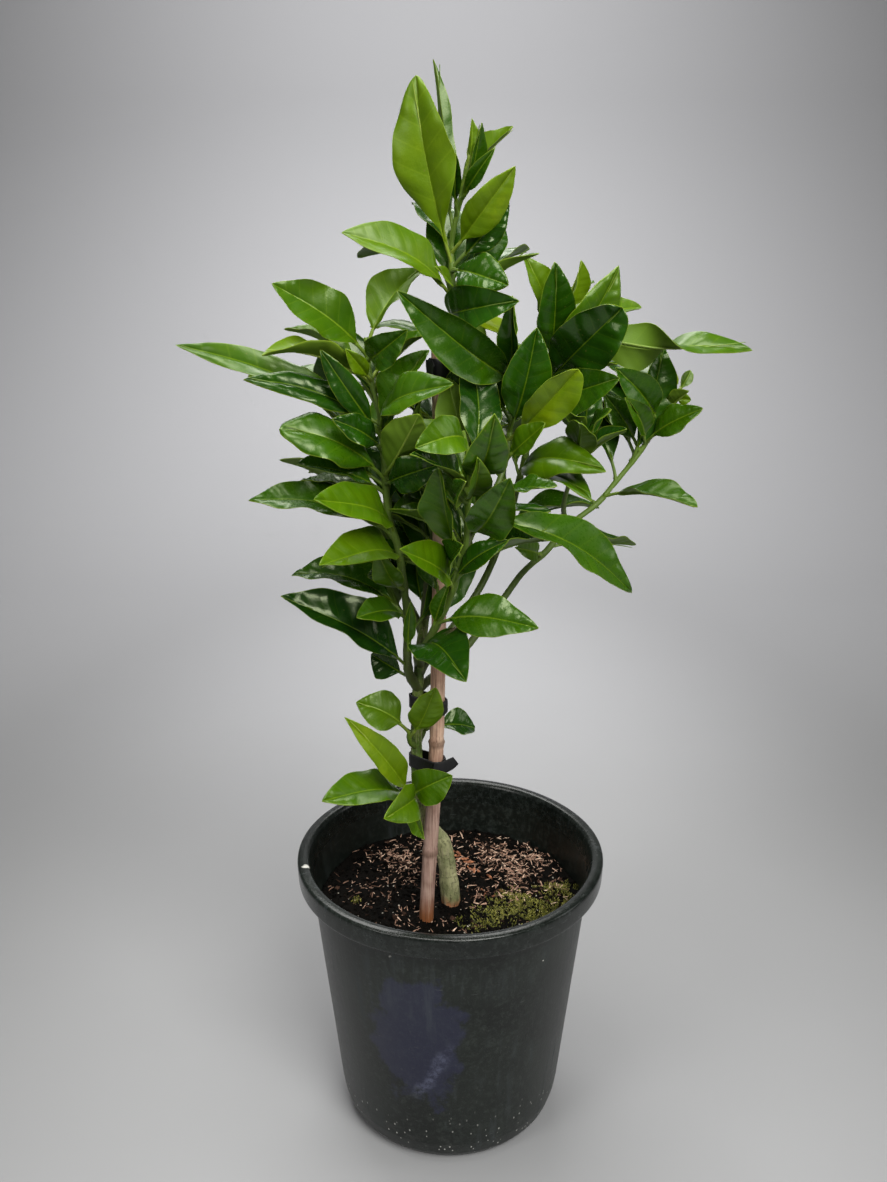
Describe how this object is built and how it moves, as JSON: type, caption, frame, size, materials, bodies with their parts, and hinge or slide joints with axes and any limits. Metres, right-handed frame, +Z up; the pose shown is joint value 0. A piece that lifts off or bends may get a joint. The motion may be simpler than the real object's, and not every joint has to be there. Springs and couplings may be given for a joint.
{
  "type": "potted orange tree",
  "caption": "Young grafted citrus tree with glossy leaves, tied to a bamboo cane, in a black plastic nursery pot full of potting mix.",
  "frame": {"origin": "middle of the pot's flat base, where the pot stands", "axes": "+Z up along the pot's axis, -Y towards the side shown in the picture, +X to the right seen from there"},
  "size_m": [0.3251, 0.2218, 0.667],
  "materials": {
    "pot_plastic": "black moulded plastic, dusty and scuffed",
    "potting_mix": "dark damp bark mix with pale chips and moss",
    "bark": "smooth grey-green young bark",
    "bamboo": "weathered pinkish tan cane",
    "tie_plastic": "black plastic strip",
    "leaf": "glossy waxy green leaves and twigs"
  },
  "bodies": {
    "root": {"pot": "pot_plastic", "soil": "potting_mix", "trunk": "bark", "stake": "bamboo", "tie_low": "tie_plastic", "tie_mid": "tie_plastic", "tie_top": "tie_plastic", "crown": "leaf", "stem_left": "leaf", "stem_left_back": "leaf", "stem_centre": "leaf", "stem_centre_right": "leaf", "stem_right_back": "leaf", "branch_right": "leaf", "stem_right_up": "leaf", "shoot_mid": "leaf", "shoot_back": "leaf", "shoot_low": "leaf"}
  },
  "joints": []
}
